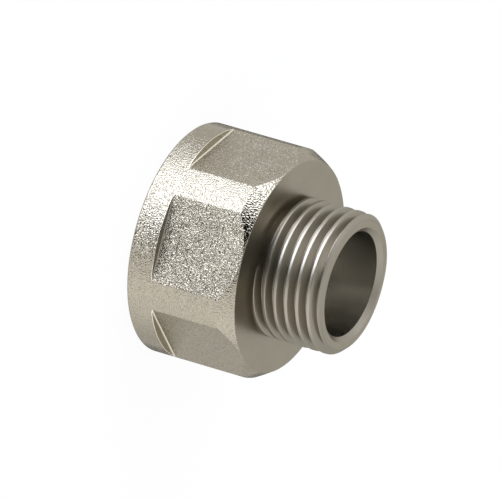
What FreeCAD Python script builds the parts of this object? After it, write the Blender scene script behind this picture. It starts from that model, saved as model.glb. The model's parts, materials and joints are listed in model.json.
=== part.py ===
import FreeCAD, Part
import math
import os

# One-piece reducing pipe adapter: a G 3/4 socket at the foot, a G 1/2 threaded spigot on top.
# Millimetres. The axis is Z, the socket's rim lies on Z = 0, and one spanner flat faces -Y.
# The spigot's thread is cut in full. The socket is bored to its thread's core diameter.

# Both threads: 14 threads to the inch, flanks at 55 degrees, crests and roots cut flat
threadPitch = 25.4 / 14
flankHalfAngle = 27.5
threadCrestWidth = 0.49
threadRootWidth = 0.115

# Socket: countersunk mouth, core bore, relief and a flat seat
femaleMajorDiameter = 26.441
socketDepth = 13.5
mouthClearance = 0.38
reliefWidth = 1.8
reliefClearance = 0.18

# Body: a round collar below, spanner flats above, and a web between socket and spigot
socketWall = 2.53
collarStep = 1.25
collarHeight = 4.06
webThickness = 3.55
flatCount = 6
frontFlatAngle = -90.0
stepFootRadius = 0.3
rimChamfer = 0.25

# The body's upper edge is turned to a cone that leaves a full circle on the face
faceInset = 0.05
faceChamferHeight = 2.1

# Spigot: the thread runs right up to the face, and its end is chamfered and rounded
maleMajorDiameter = 20.955
maleEntryAngle = 96.0
crestFacesPerTurn = 6
crestSeamAngle = 124.0
spigotLength = 10.55
endChamferAngle = 45.0
endEdgeRadius = 0.8

# Water way through the whole length
spigotWall = 1.515
mouthChamfer = 0.7
seatChamfer = 0.5

# How far a cutting tool reaches past the face and past the thread crest that it cuts
overrun = 2.0
toolMargin = 0.2

flankSlope = math.tan(math.radians(flankHalfAngle))
threadDepth = (threadPitch - threadCrestWidth - threadRootWidth) / 2 / flankSlope
femaleMajorRadius = femaleMajorDiameter / 2
femaleMinorRadius = femaleMajorRadius - threadDepth
maleMajorRadius = maleMajorDiameter / 2
maleRootRadius = maleMajorRadius - threadDepth
waterwayRadius = maleRootRadius - spigotWall
flatDistance = femaleMajorRadius + socketWall
collarRadius = flatDistance + collarStep
faceRadius = flatDistance - faceInset
bodyHeight = socketDepth + webThickness
topHeight = bodyHeight + spigotLength

# The spigot's end: a rounded edge runs from the flat ring into the chamfer
endBend = math.radians(endChamferAngle)
edgeStartRadius = maleRootRadius
edgeEndRadius = edgeStartRadius + endEdgeRadius * math.sin(endBend)
edgeEndHeight = topHeight - endEdgeRadius * (1 - math.cos(endBend))
chamferFootHeight = edgeEndHeight - (maleMajorRadius - edgeEndRadius) * math.tan(endBend)

axis = FreeCAD.Vector(0, 0, 1)
origin = FreeCAD.Vector(0, 0, 0)


def point(radius, height):
    """A point of a turned profile, which lies in the plane Y = 0."""
    return FreeCAD.Vector(radius, 0, height)


def closedOutline(points):
    corners = [point(radius, height) for radius, height in points]
    return Part.Wire(Part.makePolygon(corners + corners[:1]))


def turned(points, angle=360.0):
    """Turn a closed outline of (radius, height) pairs about the axis."""
    return Part.Face(closedOutline(points)).revolve(origin, axis, angle)


def threadTool():
    """The right-hand helical bar that cuts the groove between the crests of the spigot's thread.

    At maleEntryAngle the middle of a crest meets the foot of the end chamfer.
    """
    mouthRadius = maleMajorRadius + toolMargin
    rootHalf = threadRootWidth / 2
    mouthHalf = rootHalf + (threadDepth + toolMargin) * flankSlope
    profile = closedOutline([
        (maleRootRadius, -rootHalf),
        (maleRootRadius, rootHalf),
        (mouthRadius, mouthHalf),
        (mouthRadius, -mouthHalf),
    ])
    turnsBelow = math.ceil((chamferFootHeight - bodyHeight) / threadPitch) + 1
    start = chamferFootHeight - (turnsBelow + 0.5) * threadPitch
    height = topHeight + threadPitch - start
    helix = Part.makeLongHelix(threadPitch, height, maleMajorRadius, 0.0)
    sweep = Part.BRepOffsetAPI.MakePipeShell(helix)
    sweep.setFrenetMode(True)
    sweep.add(profile)
    sweep.build()
    sweep.makeSolid()
    bar = sweep.shape()
    bar.translate(point(0, start))
    bar.rotate(origin, axis, maleEntryAngle)
    return bar


def flatTool(angle):
    """A block that leaves one spanner flat, with a small fillet along the foot of its step."""
    reach = 2 * collarRadius
    corner = FreeCAD.Vector(flatDistance, -reach / 2, collarHeight)
    block = Part.makeBox(reach, reach, bodyHeight, corner)
    foot = [
        edge for edge in block.Edges
        if edge.BoundBox.XMax < flatDistance + 1e-3 and edge.BoundBox.ZMax < collarHeight + 1e-3
    ]
    block = block.makeFillet(stepFootRadius, foot)
    block.rotate(origin, axis, angle)
    return block


def makeBody():
    """Collar and hexagon, still solid inside."""
    blank = turned([
        (0, 0),
        (collarRadius - rimChamfer, 0),
        (collarRadius, rimChamfer),
        (collarRadius, bodyHeight - faceChamferHeight),
        (faceRadius, bodyHeight),
        (0, bodyHeight),
    ])
    flats = [flatTool(frontFlatAngle + index * 360.0 / flatCount) for index in range(flatCount)]
    return blank.cut(flats)


def endTool():
    """The ring that is turned off the spigot's end: a rounded edge and a chamfer."""
    middleBend = endBend / 2
    arcStart = point(edgeStartRadius, topHeight)
    arcMiddle = point(
        edgeStartRadius + endEdgeRadius * math.sin(middleBend),
        topHeight - endEdgeRadius * (1 - math.cos(middleBend)),
    )
    arcEnd = point(edgeEndRadius, edgeEndHeight)
    chamferEnd = point(edgeEndRadius + overrun, edgeEndHeight - overrun * math.tan(endBend))
    outerTop = point(edgeEndRadius + overrun, topHeight + overrun)
    innerTop = point(edgeStartRadius, topHeight + overrun)
    outline = Part.Wire([
        Part.Arc(arcStart, arcMiddle, arcEnd).toShape(),
        Part.LineSegment(arcEnd, chamferEnd).toShape(),
        Part.LineSegment(chamferEnd, outerTop).toShape(),
        Part.LineSegment(outerTop, innerTop).toShape(),
        Part.LineSegment(innerTop, arcStart).toShape(),
    ])
    return Part.Face(outline).revolve(origin, axis, 360.0)


def makeSpigot():
    """The threaded ring on the body's face. The water way is cut later.

    The ring is made of equal sectors, so that the thread's crest is a row of short faces.
    """
    sectorAngle = 360.0 / crestFacesPerTurn
    section = [
        (waterwayRadius / 2, bodyHeight),
        (maleMajorRadius, bodyHeight),
        (maleMajorRadius, topHeight),
        (waterwayRadius / 2, topHeight),
    ]
    sectors = [turned(section, sectorAngle) for index in range(crestFacesPerTurn)]
    for index, sector in enumerate(sectors):
        sector.rotate(origin, axis, crestSeamAngle + sectorAngle * index)
    ring = sectors[0].fuse(sectors[1:])
    return ring.cut(threadTool()).cut(endTool())


def cutSocket(adapter):
    """The female end: core bore, countersunk mouth, and the relief that the thread runs out in."""
    mouthRadius = femaleMajorRadius + mouthClearance
    reliefRadius = femaleMajorRadius + reliefClearance
    reliefStart = socketDepth - reliefWidth
    core = turned([
        (0, -overrun),
        (femaleMinorRadius, -overrun),
        (femaleMinorRadius, socketDepth),
        (0, socketDepth),
    ])
    mouth = turned([
        (0, -overrun),
        (mouthRadius + overrun, -overrun),
        (femaleMinorRadius, mouthRadius - femaleMinorRadius),
        (0, mouthRadius - femaleMinorRadius),
    ])
    relief = turned([
        (0, reliefStart),
        (reliefRadius, reliefStart),
        (reliefRadius, socketDepth),
        (0, socketDepth),
    ])
    return adapter.cut(core).cut(mouth).cut(relief)


def cutWaterway(adapter):
    """The through hole, countersunk at the spigot's end and at the seat."""
    hole = turned([
        (0, socketDepth - overrun),
        (waterwayRadius + seatChamfer + overrun, socketDepth - overrun),
        (waterwayRadius, socketDepth + seatChamfer),
        (waterwayRadius, topHeight - mouthChamfer),
        (waterwayRadius + mouthChamfer + overrun, topHeight + overrun),
        (0, topHeight + overrun),
    ])
    return adapter.cut(hole)


def makeAdapter():
    adapter = makeBody().fuse(makeSpigot())
    return cutSocket(cutWaterway(adapter)).Solids[0]


os.makedirs("parts", exist_ok=True)
adapter = makeAdapter()
adapter.exportStep("parts/adapter_body.step")
print("adapter_body: volume", round(adapter.Volume, 1), "mm3, valid", adapter.isValid())
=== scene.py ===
import bpy
import bmesh
import json
import math
from mathutils import Matrix, Vector


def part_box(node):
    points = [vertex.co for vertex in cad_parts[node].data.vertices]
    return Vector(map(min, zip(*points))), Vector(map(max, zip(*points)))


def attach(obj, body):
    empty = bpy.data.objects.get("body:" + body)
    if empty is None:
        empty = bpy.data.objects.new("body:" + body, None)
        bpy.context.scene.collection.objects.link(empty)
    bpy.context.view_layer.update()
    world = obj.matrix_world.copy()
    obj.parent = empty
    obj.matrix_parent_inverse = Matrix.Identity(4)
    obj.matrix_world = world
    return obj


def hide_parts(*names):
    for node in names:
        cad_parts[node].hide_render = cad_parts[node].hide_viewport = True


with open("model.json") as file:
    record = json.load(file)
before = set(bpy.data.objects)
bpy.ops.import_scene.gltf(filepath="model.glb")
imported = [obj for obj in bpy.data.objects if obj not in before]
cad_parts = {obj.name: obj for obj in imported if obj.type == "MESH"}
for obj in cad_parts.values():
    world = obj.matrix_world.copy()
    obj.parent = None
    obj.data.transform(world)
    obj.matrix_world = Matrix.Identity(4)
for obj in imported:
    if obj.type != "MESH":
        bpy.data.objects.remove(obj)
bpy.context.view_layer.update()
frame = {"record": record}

# Everything is modelled in millimetres and made small at the end, which suits the operators' limits
millimetre = 0.001
mounts = {mount["name"]: mount for mount in frame["record"]["mounts"]}
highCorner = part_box("adapter_body")[1]
collarRadius = highCorner[0] / millimetre
topHeight = highCorner[2] / millimetre
crestRadius = mounts["male_thread"]["dims"]["r_mm"]
coreRadius = mounts["female_thread"]["dims"]["r_mm"]
flatDistance = -mounts["spanner_flat_front"]["pos_m"][1] / millimetre

print("frame loaded: radius", round(collarRadius, 3), "mm, height", round(topHeight, 3), "mm")


class Value:
    # one socket of a node tree, so that shader maths can be written as an expression

    def __init__(self, tree, socket):
        self.tree = tree
        self.socket = socket

    def maths(self, operation, *operands):
        return self.tree.node("ShaderNodeMath", {"operation": operation}, operands)

    def __add__(self, other):
        return self.maths("ADD", self, other)

    def __radd__(self, other):
        return self.maths("ADD", other, self)

    def __sub__(self, other):
        return self.maths("SUBTRACT", self, other)

    def __rsub__(self, other):
        return self.maths("SUBTRACT", other, self)

    def __mul__(self, other):
        return self.maths("MULTIPLY", self, other)

    def __rmul__(self, other):
        return self.maths("MULTIPLY", other, self)

    def __pow__(self, other):
        return self.maths("POWER", self, other)

    def __rpow__(self, other):
        return self.maths("POWER", other, self)

    def smooth(self, low, high):
        # 0 below low, 1 above high, smooth between
        settings = {"interpolation_type": "SMOOTHSTEP"}
        inputs = {"Value": self, "From Min": low, "From Max": high}
        return self.tree.node("ShaderNodeMapRange", settings, inputs)

    def outputs(self, *names):
        # outputs of the same node, by name
        return [Value(self.tree, self.socket.node.outputs[name]) for name in names]


class Tree:
    def __init__(self, nodeTree):
        self.nodeTree = nodeTree
        nodeTree.nodes.clear()

    def node(self, kind, settings=None, inputs=None, output=0):
        # settings come first, because some of them change the sockets
        made = self.nodeTree.nodes.new(kind)
        for name, value in (settings or {}).items():
            setattr(made, name, value)
        pairs = inputs.items() if isinstance(inputs, dict) else enumerate(inputs or ())
        for name, value in pairs:
            if isinstance(value, Value):
                self.nodeTree.links.new(value.socket, made.inputs[name])
            else:
                made.inputs[name].default_value = value
        return Value(self, made.outputs[output]) if len(made.outputs) else None

    def mixColours(self, factor, first, second):
        # a Mix node has these sockets for each kind of value, and the colour ones are 6, 7 and 2
        inputs = {0: factor, 6: first, 7: second}
        return self.node("ShaderNodeMix", {"data_type": "RGBA"}, inputs, 2)


def newMaterial(name):
    material = bpy.data.materials.new(name)
    material.use_nodes = True
    return material, Tree(material.node_tree)


plating = {
    # the nickel plate's two near tones on each kind of face: turned, blasted, threaded and bored
    # ones, edges with a painted highlight, and ledges at the flats' feet with a painted highlight
    "body": ((0.300, 0.276, 0.222, 1), (0.395, 0.364, 0.295, 1)),
    # the front flat's pair, spread wide: blast grain with painted sparkle, bright and dark specks of
    # reflection
    "blasted": ((0.185, 0.170, 0.137, 1), (0.510, 0.470, 0.381, 1)),
    "thread": ((0.283, 0.261, 0.217, 1), (0.341, 0.315, 0.262, 1)),
    # the bored pair is lighter than the body's: painted light inside the socket and water way
    "bore": ((0.410, 0.392, 0.348, 1), (0.550, 0.526, 0.470, 1)),
    # the edge pair is a pale painted highlight, laid on edge faces by the ledges
    "edge": ((0.720, 0.680, 0.580, 1), (0.840, 0.800, 0.690, 1)),
    # the ledge pair is lighter than the body's, a painted highlight on the ledges at the flats' feet
    "ledge": ((0.500, 0.465, 0.375, 1), (0.630, 0.585, 0.475, 1)),
    # the dull tone in pits, and the tint at grazing angles
    "pit": (0.11, 0.10, 0.08, 1),
    "rimTint": (0.75, 0.73, 0.68, 1),
}

plateTexture = {
    # sizes in mm, and how far the clouds and the turned rings spread the tones and the roughness
    "grainDetail": 0.2,
    "cloudSize": 4.0,
    "cloudDetail": 3.0,
    "cloudTone": 0.6,
    "cloudRough": 0.06,
    "ringSize": 0.15,
    "ringDetail": 2.0,
    "ringTone": 4.0,
    "pitSize": 0.2,
    "pitLimits": (0.24, 0.31),
}

finishes = {
    # plate: a pair of tones from the plating. grain and bump: size and height of the grains in mm.
    # rough: the metal's roughness. tone: how far the grains spread the pair of tones.
    # pits: how strongly the dull tone shows in them. rings: how strong the turning marks are.
    "blastedFlat": {
        "plate": "body", "grain": 0.145, "bump": 0.086, "rough": 0.07,
        "tone": 1.1, "pits": 0.6, "rings": 0.0,
    },
    # blast grain with painted sparkle: its tones spread to bright and dark specks on the flat that
    # faces the camera
    "blastedFront": {
        "plate": "blasted", "grain": 0.15, "bump": 0.165, "rough": 0.035,
        "tone": 2.4, "pits": 0.9, "rings": 0.0,
    },
    "turnedCollar": {
        "plate": "body", "grain": 0.18, "bump": 0.102, "rough": 0.09,
        "tone": 0.45, "pits": 0.35, "rings": 0.0,
    },
    "conedEdge": {
        "plate": "body", "grain": 0.24, "bump": 0.105, "rough": 0.09,
        "tone": 0.3, "pits": 0.3, "rings": 0.0,
    },
    # a painted highlight: a pale tone on the collar's outer edge and the fillet middles by the
    # ledges
    "brokenEdge": {
        "plate": "edge", "grain": 0.30, "bump": 0.004, "rough": 0.25,
        "tone": 0.2, "pits": 0.0, "rings": 0.0,
    },
    # a painted highlight: the ledges at the flats' feet, except the front flat's, are lighter
    "milledLedge": {
        "plate": "ledge", "grain": 0.20, "bump": 0.03, "rough": 0.25,
        "tone": 0.4, "pits": 0.3, "rings": 0.0,
    },
    "polishedShoulder": {
        "plate": "body", "grain": 0.60, "bump": 0.0005, "rough": 0.31,
        "tone": 0.1, "pits": 0.0, "rings": 0.03,
    },
    "cutThread": {
        "plate": "thread", "grain": 0.30, "bump": 0.0005, "rough": 0.34,
        "tone": 0.1, "pits": 0.0, "rings": 0.05,
    },
    # its plate is lighter than the body's, painted light in the bore
    "boredWall": {
        "plate": "bore", "grain": 0.18, "bump": 0.015, "rough": 0.24,
        "tone": 1.6, "pits": 0.0, "rings": 0.0,
    },
}


def noise(tree, place, size, detail):
    return tree.node("ShaderNodeTexNoise", {}, {
        "Vector": place, "Scale": 1 / (size * millimetre), "Detail": detail,
    })


def turnedRings(tree, place):
    # fine rings about the axis, which the turning tool left
    across, along, upward = tree.node("ShaderNodeSeparateXYZ", {}, [place]).outputs("X", "Y", "Z")
    return tree.node("ShaderNodeTexNoise", {"noise_dimensions": "1D"}, {
        "W": (across * across + along * along) ** 0.5 + upward,
        "Scale": 1 / (plateTexture["ringSize"] * millimetre), "Detail": plateTexture["ringDetail"],
    })


def makeFinish(name):
    finish = finishes[name]
    material, tree = newMaterial(name)
    place = tree.node("ShaderNodeTexCoord", output="Object")
    grains = noise(tree, place, finish["grain"], plateTexture["grainDetail"])
    clouds = noise(tree, place, plateTexture["cloudSize"], plateTexture["cloudDetail"])
    normal = tree.node("ShaderNodeBump", {}, {
        "Strength": 1.0, "Distance": finish["bump"] * millimetre, "Height": grains,
    })
    # a noise varies about 0.5, where the pair of tones is mixed half and half
    tone = (clouds - 0.5) * plateTexture["cloudTone"] + (grains - 0.5) * (2 * finish["tone"]) + 0.5
    rough = finish["rough"] + (clouds - 0.5) * plateTexture["cloudRough"]
    if finish["rings"]:
        rings = turnedRings(tree, place) - 0.5
        tone = tone + rings * (plateTexture["ringTone"] * finish["rings"])
        rough = rough + rings * finish["rings"]
    colour = tree.mixColours(tone, *plating[finish["plate"]])
    if finish["pits"]:
        specks = noise(tree, place, plateTexture["pitSize"], 0.0)
        pits = 1 - specks.smooth(*plateTexture["pitLimits"])
        colour = tree.mixColours(pits * finish["pits"], colour, plating["pit"])
    shader = tree.node("ShaderNodeBsdfPrincipled", {}, {
        "Base Color": colour,
        "Metallic": 1.0,
        "Roughness": rough,
        "Normal": normal,
        "Specular Tint": plating["rimTint"],
    })
    tree.node("ShaderNodeOutputMaterial", {}, {"Surface": shader})
    return material


finishMaterials = {name: makeFinish(name) for name in finishes}
print("finishes made:", ", ".join(finishMaterials))


modelling = {
    # millimetres: points nearer than mergeDistance are one. The seams of a screwed outline and the
    # search for an edge by its place are less exact, and take closeDistance.
    "mergeDistance": 1e-5,
    "closeDistance": 1e-3,
    "turningSteps": 180,
}


def deselectAll():
    if bpy.context.object and bpy.context.object.mode != "OBJECT":
        bpy.ops.object.mode_set(mode="OBJECT")
    bpy.ops.object.select_all(action="DESELECT")


def activate(piece):
    deselectAll()
    piece.select_set(True)
    bpy.context.view_layer.objects.active = piece


def applyModifier(piece, kind, **settings):
    activate(piece)
    modifier = piece.modifiers.new(kind.title(), kind)
    for name, value in settings.items():
        setattr(modifier, name, value)
    bpy.ops.object.modifier_apply(modifier=modifier.name)


def report(piece, words):
    mesh = bmesh.new()
    mesh.from_mesh(piece.data)
    openEdges = sum(1 for edge in mesh.edges if len(edge.link_faces) != 2)
    volume = round(mesh.calc_volume(), 2)
    print(words + ":", len(mesh.faces), "faces,", openEdges, "open edges, volume", volume, "mm3")
    mesh.free()


def boolean(piece, tool, operation):
    applyModifier(
        piece, "BOOLEAN", object=tool, operation=operation, solver="EXACT",
        material_mode="TRANSFER",
    )
    bpy.data.objects.remove(tool)


def arcPoints(start, centre, angle, count):
    # the points after start on an arc about centre, in the (radius, height) plane
    spoke = Vector(start) - Vector(centre)
    turn = math.radians(angle)
    return [
        tuple(Vector(centre) + Matrix.Rotation(turn * step / count, 2) @ spoke)
        for step in range(1, count + 1)
    ]


def roundedCorner(before, corner, after, radius, count):
    # the points of an arc that rounds one corner of an outline
    corner = Vector(corner)
    first = (Vector(before) - corner).normalized()
    second = (Vector(after) - corner).normalized()
    half = first.angle(second) / 2
    start = corner + first * radius / math.tan(half)
    centre = corner + (first + second).normalized() * radius / math.sin(half)
    sweep = math.copysign(180 - 2 * math.degrees(half), second.cross(first))
    return [tuple(start)] + arcPoints(start, centre, sweep, count)


def drawOutline(name, outline):
    # a chain of edges through (radius, height) points, extruded from one point
    deselectAll()
    bpy.ops.mesh.primitive_plane_add(size=1, location=(0, 0, 0))
    piece = bpy.context.object
    piece.name = name
    bpy.ops.object.mode_set(mode="EDIT")
    bpy.ops.mesh.merge(type="CENTER")
    bpy.ops.transform.translate(value=(outline[0][0], 0, outline[0][1]))
    for (radius, height), (nextRadius, nextHeight) in zip(outline, outline[1:]):
        bpy.ops.mesh.extrude_vertices_move(
            TRANSFORM_OT_translate={"value": (nextRadius - radius, 0, nextHeight - height)}
        )
    bpy.ops.object.mode_set(mode="OBJECT")
    return piece


def finishMesh(piece, material):
    activate(piece)
    bpy.ops.object.mode_set(mode="EDIT")
    bpy.ops.mesh.select_all(action="SELECT")
    bpy.ops.mesh.remove_doubles(threshold=modelling["mergeDistance"])
    bpy.ops.mesh.normals_make_consistent(inside=False)
    bpy.ops.object.mode_set(mode="OBJECT")
    piece.data.materials.clear()
    piece.data.materials.append(finishMaterials[material])


def turnedSolid(name, outline, material):
    # a closed solid: the outline starts and ends on the axis
    piece = drawOutline(name, outline)
    activate(piece)
    bpy.ops.object.mode_set(mode="EDIT")
    bpy.ops.mesh.select_all(action="SELECT")
    bpy.ops.mesh.spin(
        steps=modelling["turningSteps"], angle=2 * math.pi, center=(0, 0, 0), axis=(0, 0, 1)
    )
    bpy.ops.object.mode_set(mode="OBJECT")
    finishMesh(piece, material)
    return piece


threads = {
    # millimetres and degrees. Both threads have this pitch and tooth, and steps are those of a turn.
    "pitch": 25.4 / 14,
    "flankHalfAngle": 27.5,
    "crestWidth": 0.49,
    "rootWidth": 0.115,
    "crestRounding": 0.11,
    "crestSegments": 4,
    "rootRounding": 0.08,
    "rootSegments": 2,
    "steps": 144,
}

flankSlope = math.tan(math.radians(threads["flankHalfAngle"]))


def toothOutline(inner, outer, crestWidth, crestRounding, rootRounding):
    # one pitch of a threaded rod's outline, from the middle of a groove to that of the next
    # inner and outer are the radii of its roots and its crests
    pitch = threads["pitch"]
    crestStart = (pitch - crestWidth) / 2
    groove = (inner, 0)
    foot = (inner, crestStart - (outer - inner) * flankSlope)
    shoulder = (outer, crestStart)
    middle = (outer, pitch / 2)
    half = [groove]
    if rootRounding:
        half += roundedCorner(groove, foot, shoulder, rootRounding, threads["rootSegments"])
    else:
        half.append(foot)
    half += roundedCorner(foot, shoulder, middle, crestRounding, threads["crestSegments"])
    return half + [(radius, pitch - height) for radius, height in reversed(half)]


def threadRod(name, tooth, entry, span, material):
    # a rod with a right-hand thread: one pitch of outline is screwed up, then cut flat at both ends
    # entry is an angle and a height that the middle of a crest passes, and span is from low to high
    entryAngle, entryHeight = entry
    low, high = span
    pitch = threads["pitch"]
    piece = drawOutline(name, tooth)
    turns = math.ceil((high - low) / pitch) + 3  # some to spare at both ends
    applyModifier(
        piece, "SCREW", angle=2 * math.pi, screw_offset=pitch, iterations=turns,
        steps=threads["steps"], render_steps=threads["steps"],
    )
    turnsBelow = math.ceil((entryHeight - low) / pitch) + 1
    lift = Matrix.Translation((0, 0, entryHeight - (turnsBelow + 0.5) * pitch))
    piece.data.transform(lift @ Matrix.Rotation(math.radians(entryAngle), 4, "Z"))
    activate(piece)
    bpy.ops.object.mode_set(mode="EDIT")
    bpy.ops.mesh.select_all(action="SELECT")
    bpy.ops.mesh.remove_doubles(threshold=modelling["closeDistance"])
    for height, clearing in ((low, "clear_inner"), (high, "clear_outer")):
        bpy.ops.mesh.select_all(action="SELECT")
        bpy.ops.mesh.bisect(
            plane_co=(0, 0, height), plane_no=(0, 0, 1), use_fill=True,
            threshold=modelling["mergeDistance"], **{clearing: True}
        )
    bpy.ops.object.mode_set(mode="OBJECT")
    finishMesh(piece, material)
    return piece


adapter = {
    # millimetres and degrees
    "collarHeight": 4.06,
    "bodyHeight": 17.05,
    "faceRadius": 15.70,
    "faceChamfer": 2.1,
    "rimChamfer": 0.25,
    "flats": 6,
    "stepFoot": 0.3,
    "footSegments": 4,
    "edgeBevel": 0.07,
    "edgeSegments": 2,
    "sharpAngle": 14.0,
    "smoothAngle": 32.0,
    "socketDepth": 13.5,
    "mouthClearance": 0.38,
    "reliefWidth": 1.8,
    "reliefClearance": 0.18,
    "tapInset": 0.3,
    "socketEntryAngle": 30.0,
    "spigotWall": 1.515,
    "mouthChamfer": 0.7,
    "seatChamfer": 0.5,
    "endEdge": 0.8,
    "endAngle": 45.0,
    "endSegments": 5,
    "entryAngle": 96.0,
    # how far a tool reaches past what it cuts, and a rod past the face that it ends at
    "past": 2.0,
    "sunk": 1.0,
}

threadDepth = (threads["pitch"] - threads["crestWidth"] - threads["rootWidth"]) / 2 / flankSlope
maleRoot = crestRadius - threadDepth
femaleMajor = coreRadius + threadDepth
waterway = maleRoot - adapter["spigotWall"]
coneFoot = adapter["bodyHeight"] - adapter["faceChamfer"]

# The spigot's end: a rounded edge about edgeCentre, then a chamfer down to the crests
endBend = math.radians(adapter["endAngle"])
edgeCentre = (maleRoot, topHeight - adapter["endEdge"])
edgeEnd = (
    maleRoot + adapter["endEdge"] * math.sin(endBend),
    topHeight - adapter["endEdge"] * (1 - math.cos(endBend)),
)
chamferFoot = edgeEnd[1] - (crestRadius - edgeEnd[0]) * math.tan(endBend)


def flatTool(angle, finish):
    # a block whose lower inner edge is rounded, so that the flat ends in a small fillet
    size = 2 * collarRadius
    deselectAll()
    bpy.ops.mesh.primitive_cube_add(
        size=size, location=(0, -flatDistance - size / 2, adapter["collarHeight"] + size / 2)
    )
    tool = bpy.context.object
    tool.data.materials.append(finishMaterials[finish])
    bpy.ops.object.transform_apply(location=True, rotation=True, scale=True)
    bpy.ops.object.mode_set(mode="EDIT")
    mesh = bmesh.from_edit_mesh(tool.data)
    bpy.ops.mesh.select_all(action="DESELECT")
    for edge in mesh.edges:
        middle = (edge.verts[0].co + edge.verts[1].co) / 2
        offsets = (middle.y + flatDistance, middle.z - adapter["collarHeight"])
        edge.select_set(max(abs(offset) for offset in offsets) < modelling["closeDistance"])
    bmesh.update_edit_mesh(tool.data)
    bpy.ops.mesh.bevel(
        offset=adapter["stepFoot"], segments=adapter["footSegments"], affect="EDGES",
        clamp_overlap=False,
    )
    bpy.ops.object.mode_set(mode="OBJECT")
    tool.data.transform(Matrix.Rotation(math.radians(angle), 4, "Z"))
    return tool


def breakEdges(body):
    # the sharp outward edges of the collar and hexagon are broken
    activate(body)
    bpy.ops.object.mode_set(mode="EDIT")
    bpy.ops.mesh.select_all(action="DESELECT")
    mesh = bmesh.from_edit_mesh(body.data)
    leastAngle = math.radians(adapter["sharpAngle"])
    for edge in mesh.edges:
        outward = len(edge.link_faces) == 2 and edge.is_convex
        edge.select_set(outward and edge.calc_face_angle() > leastAngle)
    bmesh.update_edit_mesh(body.data)
    bpy.ops.mesh.bevel(
        offset=adapter["edgeBevel"], segments=adapter["edgeSegments"], affect="EDGES",
        clamp_overlap=False, miter_outer="ARC",
    )
    bpy.ops.object.mode_set(mode="OBJECT")


def makeBody():
    body = turnedSolid("adapterShell", [
        (0, 0),
        (collarRadius - adapter["rimChamfer"], 0),
        (collarRadius, adapter["rimChamfer"]),
        (collarRadius, coneFoot),
        (adapter["faceRadius"], adapter["bodyHeight"]),
        (0, adapter["bodyHeight"]),
    ], "turnedCollar")
    for index in range(adapter["flats"]):
        # the front flat takes the grain with painted sparkle
        finish = "blastedFlat" if index else "blastedFront"
        boolean(body, flatTool(index * 360 / adapter["flats"], finish), "DIFFERENCE")
    breakEdges(body)
    report(body, "body cut to its flats")
    return body


def makeSpigot():
    bottom = adapter["bodyHeight"]
    sunk = adapter["sunk"]
    tooth = toothOutline(
        maleRoot, crestRadius, threads["crestWidth"],
        threads["crestRounding"], threads["rootRounding"],
    )
    entry = (adapter["entryAngle"], chamferFoot)
    rod = threadRod("spigotRod", tooth, entry, (bottom - sunk, topHeight + sunk), "cutThread")
    envelope = turnedSolid("spigotEnvelope", [
        (0, bottom - adapter["past"]),
        (crestRadius + sunk, bottom - adapter["past"]),
        (crestRadius + sunk, chamferFoot - sunk * math.tan(endBend)),
        edgeEnd,
        *arcPoints(edgeEnd, edgeCentre, adapter["endAngle"], adapter["endSegments"]),
        (0, topHeight),
    ], "cutThread")
    boolean(rod, envelope, "INTERSECT")
    report(rod, "spigot")
    return rod


def boringTool():
    # what is bored out: socket, relief, seat and water way
    past = adapter["past"]
    mouth = femaleMajor + adapter["mouthClearance"]
    relief = femaleMajor + adapter["reliefClearance"]
    depth = adapter["socketDepth"]
    return turnedSolid("boringTool", [
        (0, -past),
        (mouth + past, -past),
        (coreRadius, mouth - coreRadius),
        (coreRadius, depth - adapter["reliefWidth"]),
        (relief, depth - adapter["reliefWidth"]),
        (relief, depth),
        (waterway + adapter["seatChamfer"], depth),
        (waterway, depth + adapter["seatChamfer"]),
        (waterway, topHeight - adapter["mouthChamfer"]),
        (waterway + adapter["mouthChamfer"] + past, topHeight + past),
        (0, topHeight + past),
    ], "boredWall")


def tapTool():
    # a rod whose crests cut the roots of the socket's thread, and whose end lies in the relief
    tooth = toothOutline(
        coreRadius - adapter["tapInset"], femaleMajor, threads["rootWidth"],
        threads["rootRounding"], 0,
    )
    top = adapter["socketDepth"] - adapter["reliefWidth"] / 2
    entry = (adapter["socketEntryAngle"], 0)
    return threadRod("tap", tooth, entry, (-adapter["sunk"], top), "boredWall")


def makeAdapter():
    piece = makeBody()
    boolean(piece, makeSpigot(), "UNION")
    report(piece, "spigot joined")
    boolean(piece, boringTool(), "DIFFERENCE")
    boolean(piece, tapTool(), "DIFFERENCE")
    report(piece, "socket bored and tapped")
    return piece


dressing = {
    # limits of how far a face of each kind looks up: 0 is upright and 1 is level
    "level": (0.99, 1.1),
    "cone": (0.4, 0.65),
    "collarEdge": (0.1, 0.99),
    "ledgeLine": (0.4, 0.7),
    "ledge": (0.7, 1.1),
    "countersink": (0.5, 0.9),
    # millimetres: how near a level face lies to its height, and the margins that keep the socket
    # and the spigot's end ring out
    "levelMargin": 0.05,
    "socketMargin": 2.0,
    "ringMargin": 0.5,
}


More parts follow.
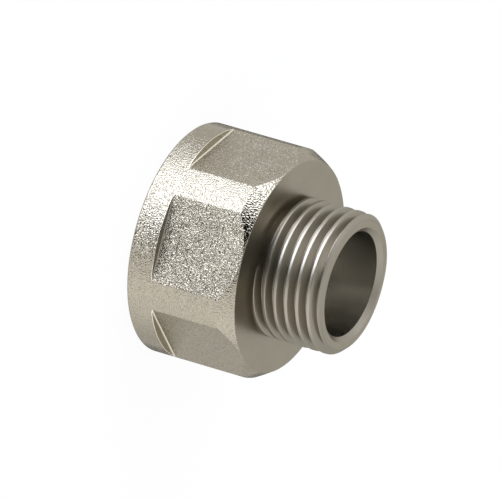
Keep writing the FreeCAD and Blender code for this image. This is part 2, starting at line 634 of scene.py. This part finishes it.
def ownFinish(polygon):
    # the finish of a face that differs from its neighbours', by where it lies and how it looks up
    height = polygon.center.z
    radius = math.hypot(polygon.center.x, polygon.center.y)

    def looks(kind):
        low, high = dressing[kind]
        return low < polygon.normal.z < high

    levelGap = min(abs(height - adapter["bodyHeight"]), abs(height - topHeight))
    onLedge = (
        radius > coreRadius + dressing["socketMargin"]
        and abs(height - adapter["collarHeight"]) < adapter["stepFoot"]
    )
    onCollarEdge = radius > collarRadius - adapter["edgeBevel"]
    inMouth = (
        height > topHeight - adapter["mouthChamfer"]
        and radius < maleRoot - dressing["ringMargin"]
    )
    if looks("level") and levelGap < dressing["levelMargin"]:
        return "polishedShoulder"
    if looks("cone") and height > coneFoot and radius > adapter["faceRadius"]:
        return "conedEdge"
    # painted highlight lines on the collar's outer edge and along the fillet at the flats' feet
    if onLedge and (looks("collarEdge") and onCollarEdge or looks("ledgeLine")):
        return "brokenEdge"
    if inMouth and looks("countersink"):
        return "cutThread"
    # the ledges get the lighter painted highlight, while the front flat's ledge keeps the plain
    # thread finish without it
    if onLedge and looks("ledge"):
        return "cutThread" if polygon.center.y < -flatDistance else "milledLedge"
    return None


def dressAdapter(piece):
    slots = piece.data.materials
    for name in ("polishedShoulder", "conedEdge", "milledLedge", "brokenEdge"):
        slots.append(finishMaterials[name])
    for polygon in piece.data.polygons:
        finish = ownFinish(polygon)
        if finish:
            polygon.material_index = slots.find(finish)


shell = makeAdapter()
dressAdapter(shell)
report(shell, "adapter dressed")
shell.data.transform(Matrix.Scale(millimetre, 4))
activate(shell)
bpy.ops.object.shade_smooth_by_angle(angle=math.radians(adapter["smoothAngle"]))
applyModifier(shell, "WEIGHTED_NORMAL", keep_sharp=True, weight=100, thresh=0.01)
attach(shell, "root")
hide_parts("adapter_body")
print("adapter finished:", len(shell.data.polygons), "faces")


view = {
    # the view of the photograph: degrees of tilt from the pipe's axis, roll and turn about it, then
    # the camera's distance and the socket rim's place in the frame, in collar radii
    "tilt": 64.286,
    "roll": 16.197,
    "turn": -93.94,
    "distance": 100.0,
    "rimRight": -0.5339,
    "rimUp": 0.1121,
    "lens": 853.945,
    "sensor": 36.0,
    "clipEnd": 10.0,
}


def placeCamera():
    tilt, roll, turn = (math.radians(view[key]) for key in ("tilt", "roll", "turn"))
    upright = Vector((0, 0, 1))
    facing = Vector((math.cos(turn), math.sin(turn), 0))
    beside = upright.cross(facing)
    towards = upright * math.cos(tilt) + facing * math.sin(tilt)
    away = upright * math.sin(tilt) - facing * math.cos(tilt)
    right = away * math.cos(roll) - beside * math.sin(roll)
    up = -away * math.sin(roll) - beside * math.cos(roll)
    scale = collarRadius * millimetre
    place = (towards * view["distance"] - right * view["rimRight"] - up * view["rimUp"]) * scale
    turned = Matrix((right, up, towards)).transposed().to_4x4()
    data = bpy.data.cameras.new("camera")
    data.lens = view["lens"]
    data.sensor_width = view["sensor"]
    data.clip_end = view["clipEnd"]
    camera = bpy.data.objects.new("camera", data)
    bpy.context.scene.collection.objects.link(camera)
    camera.matrix_world = Matrix.Translation(place) @ turned
    bpy.context.scene.camera = camera
    return right, up, towards


viewRight, viewUp, viewTowards = placeCamera()
print("camera placed")


studio = {
    # metres. Only floorShare of the floor is paint, which takes shadow, and the rest glows white
    "floorSize": 0.6,
    "floorSides": 96,
    "floorGap": 0.00002,
    "floorShare": 0.08,
    "floorPaint": (0.9, 0.9, 0.9, 1),
    "white": (1, 1, 1, 1),
    "softWhite": (0.98, 0.98, 1, 1),
    # the power in watts at which one square metre of lamp shines as white
    "whitePower": 4.0,
}


def makeFloor():
    deselectAll()
    bpy.ops.mesh.primitive_circle_add(
        vertices=studio["floorSides"], radius=studio["floorSize"], fill_type="NGON",
        location=(0, 0, -studio["floorGap"]),
    )
    floor = bpy.context.object
    floor.name = "floor"
    material, tree = newMaterial("paleFloor")
    paint = tree.node("ShaderNodeBsdfDiffuse", {}, {"Color": studio["floorPaint"]})
    glow = tree.node("ShaderNodeEmission", {}, {"Color": studio["white"], "Strength": 1.0})
    mixed = tree.node("ShaderNodeMixShader", {}, [studio["floorShare"], glow, paint])
    # seen from below the floor is clear, so that the socket shows
    below = tree.node("ShaderNodeNewGeometry", output="Backfacing")
    clear = tree.node("ShaderNodeBsdfTransparent")
    sided = tree.node("ShaderNodeMixShader", {}, [below, mixed, clear])
    tree.node("ShaderNodeOutputMaterial", {}, {"Surface": sided})
    floor.data.materials.append(material)
    floor.visible_glossy = False
    floor.visible_shadow = False


def makeWorld():
    # white for the camera and for what the metal mirrors
    world = bpy.data.worlds.new("studio")
    bpy.context.scene.world = world
    world.use_nodes = True
    tree = Tree(world.node_tree)
    camera, glossy, transmission = tree.node("ShaderNodeLightPath").outputs(
        "Is Camera Ray", "Is Glossy Ray", "Is Transmission Ray"
    )
    white, soft = (
        tree.node("ShaderNodeBackground", {}, {"Color": studio[name], "Strength": 1.0})
        for name in ("white", "softWhite")
    )
    mixed = tree.node("ShaderNodeMixShader", {}, [camera + glossy + transmission, soft, white])
    tree.node("ShaderNodeOutputWorld", {}, {"Surface": mixed})


lamps = {
    # direction in the view: right, up, towards the camera. Width, height and distance are in
    # metres, and a glow of 1 is white
    "overheadBox": {
        "direction": (-0.05, 0.87, 0.5), "size": (0.95, 0.4), "distance": 0.5,
        "glow": 2.45, "tint": (0.92, 0.98, 1.17),
    },
    "frontBox": {
        "direction": (-0.68, 0.47, 0.56), "size": (0.25, 0.25), "distance": 0.5,
        "glow": 3.4, "tint": (0.92, 0.98, 1.15),
    },
    "lowerFill": {
        "direction": (-0.4, -0.85, 0.3), "size": (1.0, 0.6), "distance": 0.5,
        "glow": 0.44, "tint": (1, 1, 1),
    },
}

flags = {
    # grey cards, dark and pale ones, which only the metal mirrors. They are placed as the lamps are.
    "cameraFlag": {
        "direction": (-0.1, 0.19, 1.0), "size": (0.92, 0.53), "distance": 0.5, "tone": 0.02,
    },
    "leftFlag": {
        "direction": (-0.72, 0.06, 0.69), "size": (0.15, 0.2), "distance": 0.49, "tone": 0.06,
    },
    "rearFlag": {
        "direction": (0, 0, -1), "size": (0.29, 0.29), "distance": 0.5, "tone": 0.08,
    },
    "backFlag": {
        "direction": (0.3, -0.45, -0.85), "size": (1.2, 0.9), "distance": 0.6, "tone": 0.84,
    },
}


def facingAdapter(item):
    # the place of a lamp or card: it looks at the adapter, and its width runs along the picture
    right, up, towards = item["direction"]
    away = (viewRight * right + viewUp * up + viewTowards * towards).normalized()
    across = (viewRight - away * viewRight.dot(away)).normalized()
    target = Vector((0, 0, topHeight / 2 * millimetre))
    turned = Matrix((across, away.cross(across), away)).transposed().to_4x4()
    return Matrix.Translation(target + away * item["distance"]) @ turned


def makeLamp(name, lamp):
    data = bpy.data.lights.new(name, "AREA")
    data.shape = "RECTANGLE"
    data.size, data.size_y = lamp["size"]
    data.color = lamp["tint"]
    data.energy = studio["whitePower"] * lamp["glow"] * data.size * data.size_y
    piece = bpy.data.objects.new(name, data)
    bpy.context.scene.collection.objects.link(piece)
    piece.matrix_world = facingAdapter(lamp)
    piece.visible_camera = False


def makeFlag(name, flag):
    deselectAll()
    bpy.ops.mesh.primitive_plane_add(size=1, location=(0, 0, 0))
    card = bpy.context.object
    card.name = name
    width, height = flag["size"]
    card.data.transform(facingAdapter(flag) @ Matrix.Diagonal((width, height, 1, 1)))
    material, tree = newMaterial(name)
    colour = (flag["tone"], flag["tone"], flag["tone"], 1)
    cloth = tree.node("ShaderNodeEmission", {}, {"Color": colour, "Strength": 1.0})
    tree.node("ShaderNodeOutputMaterial", {}, {"Surface": cloth})
    card.data.materials.append(material)
    card.visible_camera = False
    card.visible_shadow = False
    card.visible_diffuse = False


makeFloor()
makeWorld()
for name, lamp in lamps.items():
    makeLamp(name, lamp)
for name, flag in flags.items():
    makeFlag(name, flag)
bpy.context.scene.view_settings.view_transform = "Standard"
print("floor, world, lamps and flags made")

bpy.context.view_layer.update()
